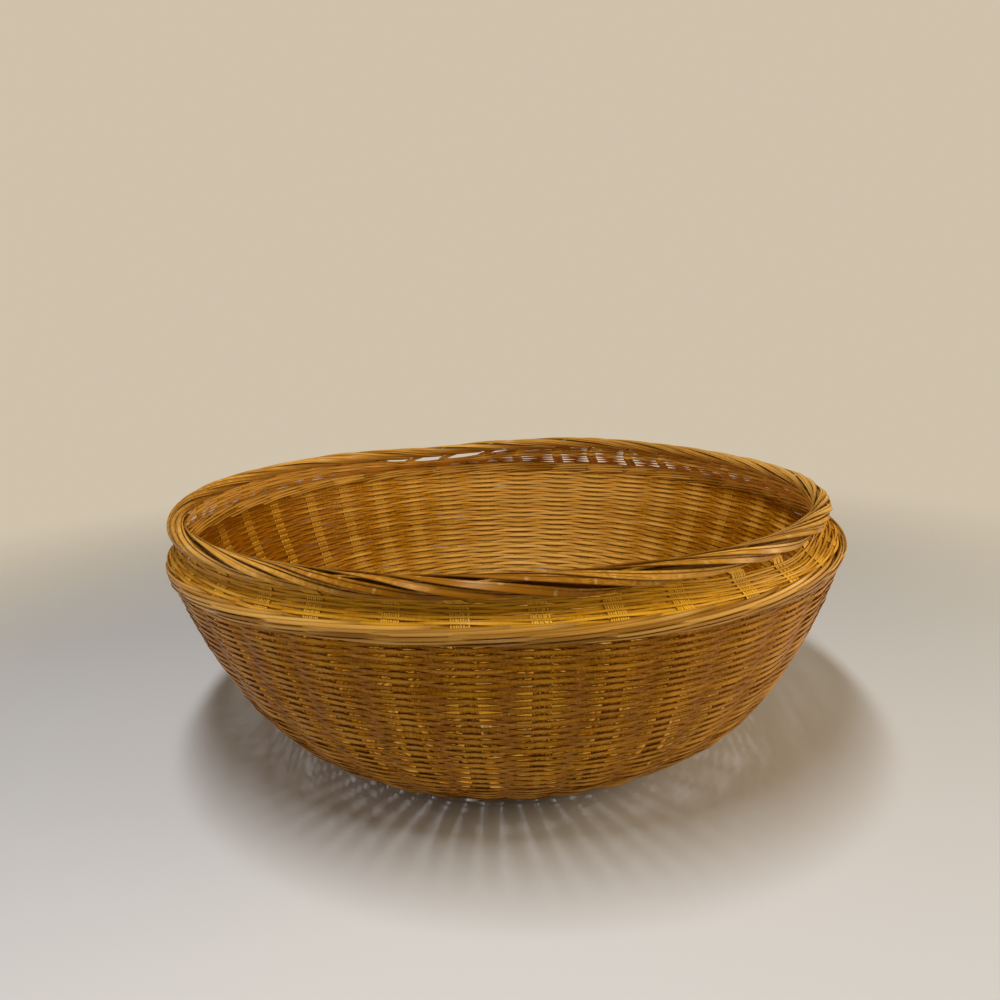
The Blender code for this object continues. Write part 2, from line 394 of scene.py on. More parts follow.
@dataclass
class SplintBlank:
    """A straight splint, one unit long, wide and thick, copied and bent for every splint of one kind.

    Attributes:
        sections: lengths that it is divided into, so that it can bend.
        closed: whether its ends meet, once it is laid as a ring.
        corners: corners of its section.
        outer_stretch: how its outer face is drawn out from a round bar along X, Y and Z.
        inner_stretch: the same for its inner face, which is narrower.
        mesh: the finished blank.
        grid: its corners.
        rows: the section that each corner belongs to.
        loops: the corner that each face corner stands on.
    """

    sections: int
    closed: bool
    corners: int = 8
    outer_stretch: tuple[float, float, float] = (1, 1.22, 1.12)
    inner_stretch: tuple[float, float, float] = (1, 0.96, 1.20)
    mesh: bpy.types.Mesh = field(init=False)
    grid: np.ndarray = field(init=False)
    rows: np.ndarray = field(init=False)
    loops: np.ndarray = field(init=False)

    def __post_init__(self) -> None:
        """Models the blank: a bar, broad on its outer face and narrower inside, repeated along its length."""
        bpy.ops.object.select_all(action="DESELECT")
        length = 1 / self.sections
        bpy.ops.mesh.primitive_cylinder_add(
            vertices=self.corners,
            radius=0.5,
            depth=length,
            end_fill_type="NOTHING",
            location=(length / 2, 0, 0),
            rotation=(0, math.pi / 2, 0),
        )
        blank = bpy.context.object
        bpy.ops.object.transform_apply(location=True, rotation=True, scale=True)
        for side, value in ((1, self.outer_stretch), (-1, self.inner_stretch)):
            self.select_shoulders(blank, side)
            bpy.ops.object.mode_set(mode="EDIT")
            bpy.ops.transform.resize(value=value, center_override=(0, 0, 0))
            bpy.ops.object.mode_set(mode="OBJECT")
        repeat = blank.modifiers.new("repeat", "ARRAY")
        repeat.count = self.sections
        repeat.use_merge_vertices = True
        repeat.merge_threshold = length / 10
        bpy.ops.object.modifier_apply(modifier=repeat.name)
        if not self.closed:
            bpy.ops.object.mode_set(mode="EDIT")
            bpy.ops.mesh.select_all(action="SELECT")
            bpy.ops.mesh.fill_holes(sides=self.corners)
            bpy.ops.mesh.normals_make_consistent(inside=False)
            bpy.ops.object.mode_set(mode="OBJECT")
        bpy.ops.object.shade_smooth_by_angle(angle=math.radians(40))
        self.mesh = blank.data
        self.mesh.uv_layers[0].name = "splint"
        self.mesh.attributes.new("tone", "FLOAT", "POINT")
        self.mesh.attributes.new("edge", "FLOAT", "POINT")
        bpy.data.objects.remove(blank)
        self.measure()

    @staticmethod
    def select_shoulders(blank: bpy.types.Object, side: int) -> None:
        """Selects the corners between the crown and the tips of the edges on one side.

        Args:
            blank: the bar.
            side: 1 for its outer side, -1 for the inner one.
        """
        bpy.ops.object.mode_set(mode="EDIT")
        bpy.ops.mesh.select_all(action="DESELECT")
        bpy.ops.mesh.select_mode(type="VERT")
        bpy.ops.object.mode_set(mode="OBJECT")
        for vertex in blank.data.vertices:
            vertex.select = abs(vertex.co.y) > 0.1 and side * vertex.co.z > 0.1

    def measure(self) -> None:
        """Notes where each corner of the blank lies, for bending, and how near an edge, for the painted shade
        along its edges.
        """
        corners = np.zeros(len(self.mesh.vertices) * 3, np.float32)
        self.mesh.vertices.foreach_get("co", corners)
        self.grid = corners.reshape(-1, 3).astype(float)
        self.rows = np.rint(self.grid[:, 0] * self.sections).astype(int)
        self.loops = np.zeros(len(self.mesh.loops), np.int32)
        self.mesh.loops.foreach_get("vertex_index", self.loops)
        edge = np.abs(self.grid[:, 1]) * 2
        self.mesh.attributes["edge"].data.foreach_set("value", edge.astype(np.float32))

    def bend(self, name: str, path: Path) -> bpy.types.Object:
        """A copy of the blank, bent along a path.

        Args:
            name: the new object's name.
            path: where it runs, with one more section than the blank has lengths.

        Returns:
            The splint, with its grain laid out along it and its tone noted.
        """
        centre, count = path.centre, self.sections + 1
        if self.closed:
            ahead, behind = np.roll(centre[:-1], -1, axis=0), np.roll(centre[:-1], 1, axis=0)
            tangent = np.vstack((ahead - behind, ahead[:1] - behind[:1]))
        else:
            tangent = np.gradient(centre, axis=0)
        tangent = unit(tangent)
        normal = unit(path.normal - tangent * np.sum(path.normal * tangent, axis=1, keepdims=True))
        across = np.cross(normal, tangent)
        width = np.broadcast_to(path.width, (count,))[self.rows] * self.grid[:, 1]
        depth = path.thickness * self.grid[:, 2]
        place = centre[self.rows] + width[:, None] * across[self.rows] + depth[:, None] * normal[self.rows]
        mesh = self.mesh.copy()
        mesh.vertices.foreach_set("co", place.astype(np.float32).ravel())
        lengths = np.concatenate(([0], np.cumsum(np.linalg.norm(np.diff(centre, axis=0), axis=1))))
        grain = np.stack((path.start + lengths[self.rows], width + INNER_FACE * (depth < 0)), axis=1)
        mesh.uv_layers["splint"].data.foreach_set("uv", grain[self.loops].astype(np.float32).ravel())
        tone = np.broadcast_to(path.tone, (count,))[self.rows]
        mesh.attributes["tone"].data.foreach_set("value", tone.astype(np.float32))
        splint = bpy.data.objects.new(name, mesh)
        bpy.context.scene.collection.objects.link(splint)
        return splint


def gather(name: str, splints: list[bpy.types.Object], finish: Finish, *nodes: str) -> bpy.types.Object:
    """Joins splints into one piece, closes the seams of its rings and hands it to the frame.

    Args:
        name: the piece's name.
        splints: what it is made of.
        finish: its finish.
        nodes: the solids that it stands for.

    Returns:
        The finished piece.
    """
    bpy.ops.object.select_all(action="DESELECT")
    for splint in splints:
        splint.select_set(True)
    bpy.context.view_layer.objects.active = splints[0]
    if len(splints) > 1:
        bpy.ops.object.join()
    piece = bpy.context.view_layer.objects.active
    bpy.ops.object.mode_set(mode="EDIT")
    bpy.ops.mesh.select_all(action="SELECT")
    bpy.ops.mesh.remove_doubles(threshold=WELD)
    bpy.ops.object.mode_set(mode="OBJECT")
    piece.name = name
    piece.data.name = name
    piece.data.materials.clear()
    piece.data.materials.append(bpy.data.materials[finish.value])
    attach(piece, BODY)
    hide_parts(*nodes)
    log.info("%s: %d splints, %d faces", name, len(splints), len(piece.data.polygons))
    return piece


@dataclass
class StakeRibbons:
    """The stakes: ribbons of thin splints that cross under the floor and stand up the wall.

    Attributes:
        bowl: the surface that they follow.
        splints: splints side by side in a ribbon.
        pitch: distance between ribbons where they cross.
        thickness: thickness of a splint.
        fill: a splint's width, as a share of its place in the ribbon.
        tip: length of the ribbon above the collar, inside the rim.
        tip_lean: how far the tip leans back towards its neighbour, as a share of the way between stakes.
        tip_bend: where it starts and ends to lean, from the top of the collar.
        run_on: how far a stake runs on straight past the last one that it crosses, in pitches.
        fanning: where it starts to fan out and has done so, as shares of that and of the fan's radius.
        rest: how high the ribbons' undersides lie over the floor, on the mean, where they cross.
        weave_rise: how far a stake rises and sinks where it crosses others.
        weave_snap: how quickly it changes from one to the other.
        tone: how pale the ribbons are, kept dark: partly their own colour, partly painted shade where they
            lie sunk between the rows of the wall.
        collar_highlight: how much paler they are above the wall, a painted highlight where they catch the
            light in the collar.
        unevenness: how much ribbons differ in tone, and the splints in each.
        looseness: how far splints stray from their places.
        sections: lengths that half a stake is divided into, on crossing, fan, wall and collar.
        seed: which of the possible sets of ribbons.
    """

    bowl: BowlShape
    splints: int = 8
    pitch: float = 0.0052
    thickness: float = 0.0006
    fill: float = 0.90
    tip: float = 0.0038
    tip_lean: float = 0.6
    tip_bend: tuple[float, float] = (-0.002, 0.005)
    run_on: float = 0.3
    fanning: tuple[float, float] = (0.90, 1.04)
    rest: float = 0.00055
    weave_rise: float = 0.0004
    weave_snap: float = 2.2
    tone: float = 0.28
    collar_highlight: float = 0.48
    unevenness: float = 0.05
    looseness: float = 0.00006
    sections: tuple[int, int, int, int] = (16, 14, 20, 22)
    seed: int = 11

    def half(
        self, shift: float, end: float, mirrored: bool, crossed: int
    ) -> tuple[np.ndarray, np.ndarray, np.ndarray]:
        """The line of a stake from the middle of the floor out along X and up to the rim.

        Args:
            shift: the stake's place in its bundle, in stakes from the middle one.
            end: its number round the bowl.
            mirrored: whether the line is mirrored afterwards, to run along -X.
            crossed: how many stakes it crosses.

        Returns:
            The line's points, the direction across the ribbon, and the length along the meridian.
        """
        bowl = self.bowl
        straight = (crossed / 2 + self.run_on) * self.pitch
        crossing, fan, wall, collar = self.sections
        arc = np.concatenate((
            np.linspace(0, straight, crossing, endpoint=False),
            np.linspace(straight, bowl.floor_radius, fan, endpoint=False),
            np.linspace(bowl.floor_radius, bowl.wall_end, wall, endpoint=False),
            np.linspace(bowl.wall_end, bowl.collar_end + self.tip, collar + 1),
        ))
        lean = bowl.angle(np.full_like(arc, end), arc) - bowl.step * end
        low, high = (bowl.collar_end + bend for bend in self.tip_bend)
        lean -= self.tip_lean * bowl.step * ease(arc, low, high)
        turn = shift * bowl.step + (-lean if mirrored else lean)
        radius, height, _, _ = bowl.meridian(np.maximum(arc, bowl.fan_radius))
        share = ease(arc, straight * self.fanning[0], bowl.fan_radius * self.fanning[1])
        radial = np.where(arc < bowl.fan_radius, arc, radius)
        fanned = np.stack((radial * np.cos(turn), radial * np.sin(turn)), axis=1)
        straight_on = np.stack((arc, np.full_like(arc, shift * self.pitch)), axis=1)
        plan = straight_on * (1 - share[:, None]) + fanned * share[:, None]
        wave = np.cos(math.pi * (arc / self.pitch + (0 if crossed % 2 else 0.5)))
        over = np.tanh(self.weave_snap * wave) * (1 - ease(arc, straight - self.pitch / 2, straight))
        # Only upper stakes take turns, so lower ones run through them at every other crossing: a known fault
        side = 1 if (shift + 0.5) % 2 == 1 else -1
        level = self.thickness / 2 + self.rest + self.weave_rise * over * side
        line = np.column_stack((plan, level * (1 - share) + height * share))
        heading = share * turn
        across = np.stack((-np.sin(heading), np.cos(heading), 0 * heading), axis=1)
        return line, across, arc

    def build(self) -> None:
        """Makes every stake of both bundles, each in place of its solid."""
        blank = SplintBlank(sections=2 * sum(self.sections), closed=False)
        rng = np.random.default_rng(self.seed)
        for bundle, number, crossed in ((Bundle.LOWER, 9, 10), (Bundle.UPPER, 10, 9)):
            heading = bundle.value * math.pi / 2
            first = bundle.value * self.bowl.stake_ends / 4
            for index in range(number):
                shift = index - (number - 1) / 2
                ends = (first + shift, first + self.bowl.stake_ends / 2 - shift)
                near = self.half(shift, ends[0], False, crossed)
                far = self.half(shift, ends[1], True, crossed)
                line = np.vstack((far[0][:0:-1] * (-1, 1, 1), near[0]))
                across = np.vstack((far[1][:0:-1] * (-1, 1, 1), near[1]))
                arc = np.concatenate((far[2][:0:-1], near[2]))
                spin = np.array(Matrix.Rotation(heading, 3, "Z"))
                line, across = line @ spin.T, across @ spin.T
                line[:, 0] += self.bowl.rim_lean * ease(arc, self.bowl.wall_end, self.bowl.collar_end)
                width = self.bowl.stake_width(arc)
                tangent = unit(np.gradient(line, axis=0))
                normal = np.cross(across, tangent)
                ribbon = []
                # Kept dark, partly their own colour and partly painted shade where they lie sunk in the wall;
                # painted paler in the collar, a painted highlight where they catch the light.
                tone = rng.normal(self.tone, self.unevenness)
                paler = self.collar_highlight * ease(arc, self.bowl.wall_end, self.bowl.ring_end)
                for place in range(self.splints):
                    side = place - (self.splints - 1) / 2
                    drift = rng.normal(0, self.looseness, 2)
                    aside = side * width / self.splints + drift[0]
                    path = Path(
                        centre=self.bowl.settle(line + across * aside[:, None] + normal * drift[1]),
                        normal=normal,
                        width=width / self.splints * self.fill,
                        thickness=self.thickness,
                        tone=tone + rng.normal(0, self.unevenness) + paler,
                        start=rng.uniform(0, CULM),
                    )
                    ribbon.append(blank.bend(f"stake_splint_{place}", path))
                word, number_word = bundle.name.lower(), f"{index + 1:02d}"
                gather(
                    f"{word}_stake_ribbon_{number_word}", ribbon, Finish.STAKE, f"{word}_stake_{number_word}"
                )


@dataclass
class PlainWeave:
    """Rows of flat splints that run round the bowl, over one stake and under the next.

    Attributes:
        bowl: the surface that they follow.
        kind: the part of the bowl that they cover, as the solids are named.
        start: length along the meridian where the first row starts.
        end: where the last row ends.
        solids: how many solids the rows stand for.
        pitches: distance between rows at places from start to end, evenly spaced.
        fill: a row's width midway between stakes, as a share of the distance between rows, first and last.
        spread: how much wider it lies on a stake.
        thickness: a splint's thickness.
        tone: how pale the rows are.
        wear_and_sheen: how much paler a row is where it stands proud on a stake: partly rubbed bamboo, partly
            a painted highlight.
        unevenness: how much splints differ in tone.
        slack: how far a stake holds the rows off it.
        thin_places: where they are narrower beside the stakes.
        bare_places: where they are narrower on the stakes.
        sags: where the upper rows have slipped down.
        shaded: painted light and shade: where the rows are painted paler to stand for light, or darker for
            shade with a strength below zero.
        seed: which of the possible weaves.
        parity: the side of the first stake that the first row passes.
        push: how far rows that touch are pushed aside together, about.
        swells: how many waves that push is made of.
        swell_turns: the fewest that one has in a turn round the bowl, and one more than the most.
        swell_rate: the least and most that one has in a metre along the meridian.
        selvedge: length at each end of the weave over which the push dies away.
        wander: how far a row wanders by itself.
        roll: how far it rolls about its own line, in degrees.
        swing_spread: how much it varies in how far it swings out and in, as a share.
        width_spread: how much its width varies, with all the rows and by itself, as shares.
        sections_per_stake: lengths that a row is divided into between one stake and the next.
    """

    bowl: BowlShape
    kind: str
    start: float
    end: float
    solids: int
    pitches: tuple[float, ...]
    fill: tuple[float, float] = (1.13, 1.16)
    spread: float = 0.28
    thickness: float = 0.0005
    tone: float = 0.41
    wear_and_sheen: float = 0.22
    unevenness: float = 0.06
    slack: float = 0.00012
    thin_places: Places = ()
    bare_places: Places = ()
    sags: Places = ()
    shaded: Places = ()
    seed: int = 0
    parity: int = 0
    push: float = 0.0024
    swells: int = 14
    swell_turns: tuple[int, int] = (1, 11)
    swell_rate: tuple[float, float] = (8, 55)
    selvedge: float = 0.006
    wander: float = 0.00011
    roll: float = 7
    swing_spread: float = 0.05
    width_spread: tuple[float, float] = (0.02, 0.035)
    sections_per_stake: int = 8

    def row_places(self) -> tuple[np.ndarray, np.ndarray]:
        """Divides the weave into rows.

        Returns:
            The middle of each row along the meridian, and its distance from the next.
        """
        lengths = np.linspace(self.start, self.end, len(self.pitches))
        edges = [self.start]
        while edges[-1] < self.end - self.pitches[-1] / 2:
            edges.append(edges[-1] + float(np.interp(edges[-1], lengths, self.pitches)))
        reach = edges[-1] - self.start
        edges = self.start + (np.array(edges) - self.start) * (self.end - self.start) / reach
        return (edges[:-1] + edges[1:]) / 2, np.diff(edges)

    def drift(self, angle: np.ndarray, arc: float) -> np.ndarray:
        """How far the weave is pushed along the meridian, nearly the same for rows that touch.

        Args:
            angle: angles round the bowl.
            arc: a row's place along the meridian.

        Returns:
            A length for each angle, none at the weave's own edges.
        """
        rng = np.random.default_rng(self.seed + 500)
        total = np.zeros_like(angle)
        for _ in range(self.swells):
            waves, cycles = rng.integers(*self.swell_turns), rng.uniform(*self.swell_rate)
            total += np.cos(waves * angle + math.tau * cycles * arc + rng.uniform(0, math.tau)) / cycles
        first, last = self.start + self.selvedge, self.end - self.selvedge
        inside = ease(arc, self.start, first) * (1 - ease(arc, last, self.end))
        return self.push * total * inside

    def row(self, blank: SplintBlank, index: int, arc: float, pitch: float) -> bpy.types.Object:
        """One closed row.

        Args:
            blank: the straight splint that it is bent from.
            index: its number, which sets its side of the stakes and its quirks.
            arc: its place along the meridian.
            pitch: the distance between rows here.

        Returns:
            The row.
        """
        bowl, seed = self.bowl, self.seed + 10 * index
        stake = np.linspace(0, bowl.stake_ends, blank.sections + 1)
        turn = stake * bowl.step
        place = arc + self.drift(turn, arc) + self.wander * ripple(turn, seed, waves=24)
        sag = marked(turn, self.sags)
        place -= sag * (arc - self.start)
        angle = bowl.angle(stake, place)
        radius, _, _, _ = bowl.meridian(place)
        reach = bowl.stake_width(place) / 2 / (radius * bowl.step)
        seat = StakeRibbons.thickness / 2 + self.thickness / 2 + self.slack
        wave = np.cos(math.pi * (stake + index + self.parity))
        swing = seat / np.cos(math.pi * reach) * wave
        swing = swing * (1 + self.swing_spread * ripple(turn, seed + 1, waves=19))
        roll = np.radians(self.roll) * ripple(turn, seed + 2, waves=19)
        normal = bowl.normal(angle, place)
        _, _, out, up = bowl.meridian(place)
        along = polar(out, angle, up)
        thin, bare = (marked(turn, places) for places in (self.thin_places, self.bare_places))
        # A thin place is narrowest just beside each stake, and a little wider on it and midway to the next
        share = np.interp(arc, (self.start, self.end), self.fill) + self.spread * wave**2
        share *= 1 - thin * (14 * wave**6 * (1 - wave**2) - 0.3) - bare * wave**2
        together, alone = self.width_spread
        share += together * ripple(turn, self.seed, waves=5) + alone * ripple(turn, seed + 4, waves=12)
        rng = np.random.default_rng(seed + 3)
        splices = np.sort(rng.uniform(0, bowl.stake_ends, 2))
        tones = rng.normal(self.tone, self.unevenness, 2)[np.searchsorted(splices, stake) % 2]
        # A row is painted paler where it stands proud on a stake: partly rubbed bamboo, partly a painted
        # highlight.
        path = Path(
            centre=bowl.settle(bowl.place(angle, place, swing)),
            normal=normal * np.cos(roll)[:, None] + along * np.sin(roll)[:, None],
            width=pitch * share * (1 - sag),
            thickness=self.thickness,
            # Painted light and shade at places round the bowl, added to the tone.
            tone=tones + self.wear_and_sheen * (wave**2 - 0.5) + marked(turn, self.shaded),
            start=rng.uniform(0, CULM),
        )
        return blank.bend(f"{self.kind}_row", path)

    def build(self, blank: SplintBlank) -> None:
        """Makes every row, grouped by the solid that it stands for.

        Args:
            blank: the straight splint that rows are bent from.
        """
        arcs, pitches = self.row_places()
        shares = (arcs - self.start) / (self.end - self.start)
        shares = np.clip((shares * self.solids).astype(int), 0, self.solids - 1)
        for solid in range(self.solids):
            rows = [
                self.row(blank, index, arcs[index], pitches[index])
                for index in np.flatnonzero(shares == solid).tolist()
            ]
            number = f"{solid + 1:02d}"
            gather(f"{self.kind}_weave_{number}", rows, Finish.WEAVER, f"{self.kind}_course_{number}")
        log.info("%s weave: %d rows", self.kind, len(arcs))


@dataclass
class ShoulderRing:
    """The ring at the widest place: bundles that climb over three stakes and pass behind the fourth.

    Attributes:
        bowl: the surface that it runs round.
        splint_widths: widths of the splints side by side in a bundle, from the lowest up.
        thickness: thickness of one.
        bulge_radius: how round the ring's outside is.
        bulge_start: how far outside the shoulder a splint has to lie to follow that roundness in full.
        climb: a bundle's height over the ring's middle, by stakes from its own.
        reach: how far outside the shoulder it lies there, in millimetres.
        fill: a splint's width, as a share of its place in the bundle.
        tone: how pale a bundle is.
        painted_top_light: how much paler each splint is than the one below it, a painted light from above.
        tone_spread: how much bundles differ in tone, and the splints in each.
        stagger: how far bundles stray along the ring, in stakes.
        rounding: points that the corners of a bundle's line are rounded over.
        twist: how far splints lie open, and how much they differ in it, in degrees.
        looseness: how far splints stray up or down, and outwards.
        sections: lengths that a splint is divided into.
        seed: which of the possible rings.
    """

    bowl: BowlShape
    splint_widths: tuple[float, ...] = (0.0016, 0.0019, 0.0023)
    thickness: float = 0.0006
    bulge_radius: float = 0.0064
    bulge_start: float = 0.002
    climb: Profile = ((-0.75, 0.0, 0.55, 3.4, 4.35), (0.0010, 0.0, -0.0022, 0.0014, 0.0010))
    reach: Profile = ((-0.75, 0.25, 0.8, 1.2, 3.1, 3.75, 4.35), (-1.25, -1.3, 2.1, 2.8, 1.6, -1.2, -1.2))
    fill: float = 0.88
    tone: float = 0.67
    painted_top_light: float = 0.16
    tone_spread: tuple[float, float] = (0.12, 0.18)
    stagger: float = 0.08
    rounding: int = 9
    twist: tuple[float, float] = (5, 7)
    looseness: tuple[float, float] = (0.00008, 0.00013)
    sections: int = 64
    seed: int = 23

    def build(self) -> None:
        """Makes a bundle for each stake and gathers them into the two strands of the ring."""
        bowl = self.bowl
        blank = SplintBlank(sections=self.sections, closed=False)
        rng = np.random.default_rng(self.seed)
        strands: list[list[bpy.types.Object]] = [[], []]
        stakes, _ = self.climb
        run = np.linspace(stakes[0], stakes[-1], self.sections + 1)
        smooth = np.hanning(self.rounding) / np.hanning(self.rounding).sum()
        for stake in range(bowl.stake_ends):
            shift = rng.normal(0, self.stagger)
            climb, reach = (
                np.convolve(np.pad(line, self.rounding // 2, "edge"), smooth, "valid")
                for line in (np.interp(run + shift, *self.climb), np.interp(run + shift, *self.reach) / 1000)
            )
            angle = bowl.angle(stake + run, np.full_like(run, bowl.wall_end))
            outward = polar(1.0, angle, 0.0)
            outside = ease(reach, 0, self.bulge_start)
            tone = rng.normal(self.tone, self.tone_spread[0])
            for place, (side, width) in enumerate(abreast(self.splint_widths)):
                lift = climb + side + rng.normal(0, self.looseness[0])
                twist = np.radians(rng.normal(*self.twist))
                tilt = (twist - np.arcsin(np.clip(lift / self.bulge_radius, -0.8, 0.8))) * outside
                normal = outward * np.cos(tilt)[:, None] - UP * np.sin(tilt)[:, None]
                sink = lift**2 / (2 * self.bulge_radius) * outside
                out = bowl.shoulder_radius + reach - sink + rng.normal(0, self.looseness[1])
                centre = outward * out[:, None] + UP * (bowl.shoulder_height + lift)[:, None]
                # Each splint is painted paler than the one below it, standing for light from above.
                path = Path(
                    centre=bowl.settle(centre),
                    normal=normal,
                    width=self.fill * width,
                    thickness=self.thickness,
                    tone=tone + self.painted_top_light * (place - 1) + rng.normal(0, self.tone_spread[1]),
                    start=rng.uniform(0, CULM),
                )
                strands[stake % 2].append(blank.bend("shoulder_splint", path))
        for index, strand in enumerate(strands):
            gather(f"shoulder_splints_{index + 1}", strand, Finish.BORDER, f"shoulder_strand_{index + 1}")


@dataclass
class RolledRim:
    """The rim: each stake end leaves the collar on the outside, rolls over and is cut off low inside.

    Attributes:
        bowl: the surface that ends under it.
        roll_radius: how far the ribbons lie from the middle of the rim.
        depth: the same along a ribbon, by stakes passed, as a share of that radius.
        first_turn: the direction in which a ribbon starts from the middle of the rim, in degrees over level.
        turn_per_stake: how far it winds from one stake to the next, in degrees.
        stagger: how far ribbons stray along the rim, in stakes.
        turn_sway: how far its winding wavers, in degrees, and how fast, in radians per stake.
        depth_sway: the same for its distance from the middle of the rim, in metres.
        tilt: how far it lies open, like a shingle, in degrees.
        tilt_spread: how much ribbons differ in it.
        fuller: where the rim is fuller.
        darker: painted light and shade: where it is painted darker to stand for shade, or paler for light
            with a strength below zero.
        tone: how pale the ribbons are.
        tone_spread: how much ribbons differ in tone, and the splints in each.
        steps: stakes that one ribbon passes.
        splint_widths: widths of the splints side by side in a ribbon.
        looseness: how far they stray sideways, and outwards.
        taper: how much narrower they are at the cut end, as a share.
        core_width: width of the splint that lies under each ribbon, in the middle of the rim.
        core_depth: how far in from its ribbon it lies, as a share of the ribbon's distance from the middle.
        core_shade: how much darker it is.
        thickness: thickness of a splint.
        solids: strands of the solid rim, among which the ribbons are shared.
        sections: lengths that a splint is divided into.
        seed: which of the possible rims.
    """

    bowl: BowlShape
    roll_radius: float = 0.0039
    depth: Profile = ((0, 0.6, 1.6, 5.4, 6.3), (0.92, 0.95, 1.0, 1.0, 0.66))
    first_turn: float = 242
    turn_per_stake: float = 48
    stagger: float = 0.12
    turn_sway: tuple[float, float] = (5, 2)
    depth_sway: tuple[float, float] = (0.00018, 1.7)
    tilt: float = 15
    tilt_spread: float = 5
    fuller: Places = ((278, 48, 0.26),)
    darker: Places = ((266, 22, 0.44), (190, 22, 0.24), (2, 28, -0.40), (85, 40, -0.12))
    tone: float = 0.54
    tone_spread: tuple[float, float] = (0.08, 0.06)
    steps: float = 6.3
    splint_widths: tuple[float, ...] = (0.0022, 0.0010)
    looseness: tuple[float, float] = (0.0001, 0.00008)
    taper: float = 0.35
    core_width: float = 0.0046
    core_depth: float = 0.68
    core_shade: float = 0.1
    thickness: float = 0.0007
    solids: int = 5
    sections: int = 56
    seed: int = 31

    def build(self) -> None:
        """Makes a ribbon for each stake end and gathers them by the solid strands."""
        bowl = self.bowl
        blank = SplintBlank(sections=self.sections, closed=False)
        rng = np.random.default_rng(self.seed)
        strands: list[list[bpy.types.Object]] = [[] for _ in range(self.solids)]
        run = np.linspace(0, self.steps, self.sections + 1)
        for stake in range(bowl.stake_ends):
            wind = self.first_turn - self.turn_per_stake * (run + rng.normal(0, self.stagger))
            sway, pace = self.turn_sway
            wind = np.radians(wind + sway * np.sin(run * pace + rng.uniform(0, math.tau)))
            depth = np.interp(run, *self.depth) * self.roll_radius
            sway, pace = self.depth_sway
            depth = depth + sway * np.sin(run * pace + rng.uniform(0, math.tau))
            angle = bowl.angle(stake + run, np.full_like(run, bowl.wall_end))
            girth = 1 + marked(angle, self.fuller)
            depth = depth * girth
            outward = polar(1.0, angle, 0.0)
            facing = outward * np.cos(wind)[:, None] + UP * np.sin(wind)[:, None]
            middle = outward * bowl.collar_radius + UP * bowl.rim_height + facing * depth[:, None]
            middle += (bowl.rim_lean, 0, 0)
            tangent = unit(np.gradient(middle, axis=0))
            facing = unit(facing - tangent * np.sum(facing * tangent, axis=1, keepdims=True))
            across = np.cross(facing, tangent)
            tilt = math.radians(self.tilt + rng.normal(0, self.tilt_spread))
            normal = facing * math.cos(tilt) + across * math.sin(tilt)
            flat = across * math.cos(tilt) - facing * math.sin(tilt)
            # Painted shade at the front and the left, painted light at the right and the back.
            tone = rng.normal(self.tone, self.tone_spread[0]) - marked(angle, self.darker)
            for side, width in abreast(self.splint_widths):
                aside = flat * ((side + rng.normal(0, self.looseness[0])) * girth)[:, None]
                path = Path(
                    centre=bowl.settle(middle + aside + normal * rng.normal(0, self.looseness[1])),
                    normal=normal,
                    width=width * girth * (1 - self.taper * ease(run, self.steps - 1, self.steps)),
                    thickness=self.thickness,
                    tone=tone + rng.normal(0, self.tone_spread[1]),
                    start=rng.uniform(0, CULM),
                )
                strands[stake % self.solids].append(blank.bend("rim_splint", path))
            core = Path(
                centre=bowl.settle(middle - facing * (self.core_depth * depth)[:, None]),
                normal=facing,
                width=self.core_width,
                thickness=self.thickness,
                tone=tone - self.core_shade,
                start=rng.uniform(0, CULM),
            )
            strands[stake % self.solids].append(blank.bend("core_splint", core))
        for index, strand in enumerate(strands):
            gather(f"rim_splints_{index + 1}", strand, Finish.BORDER, f"rim_strand_{index + 1}")


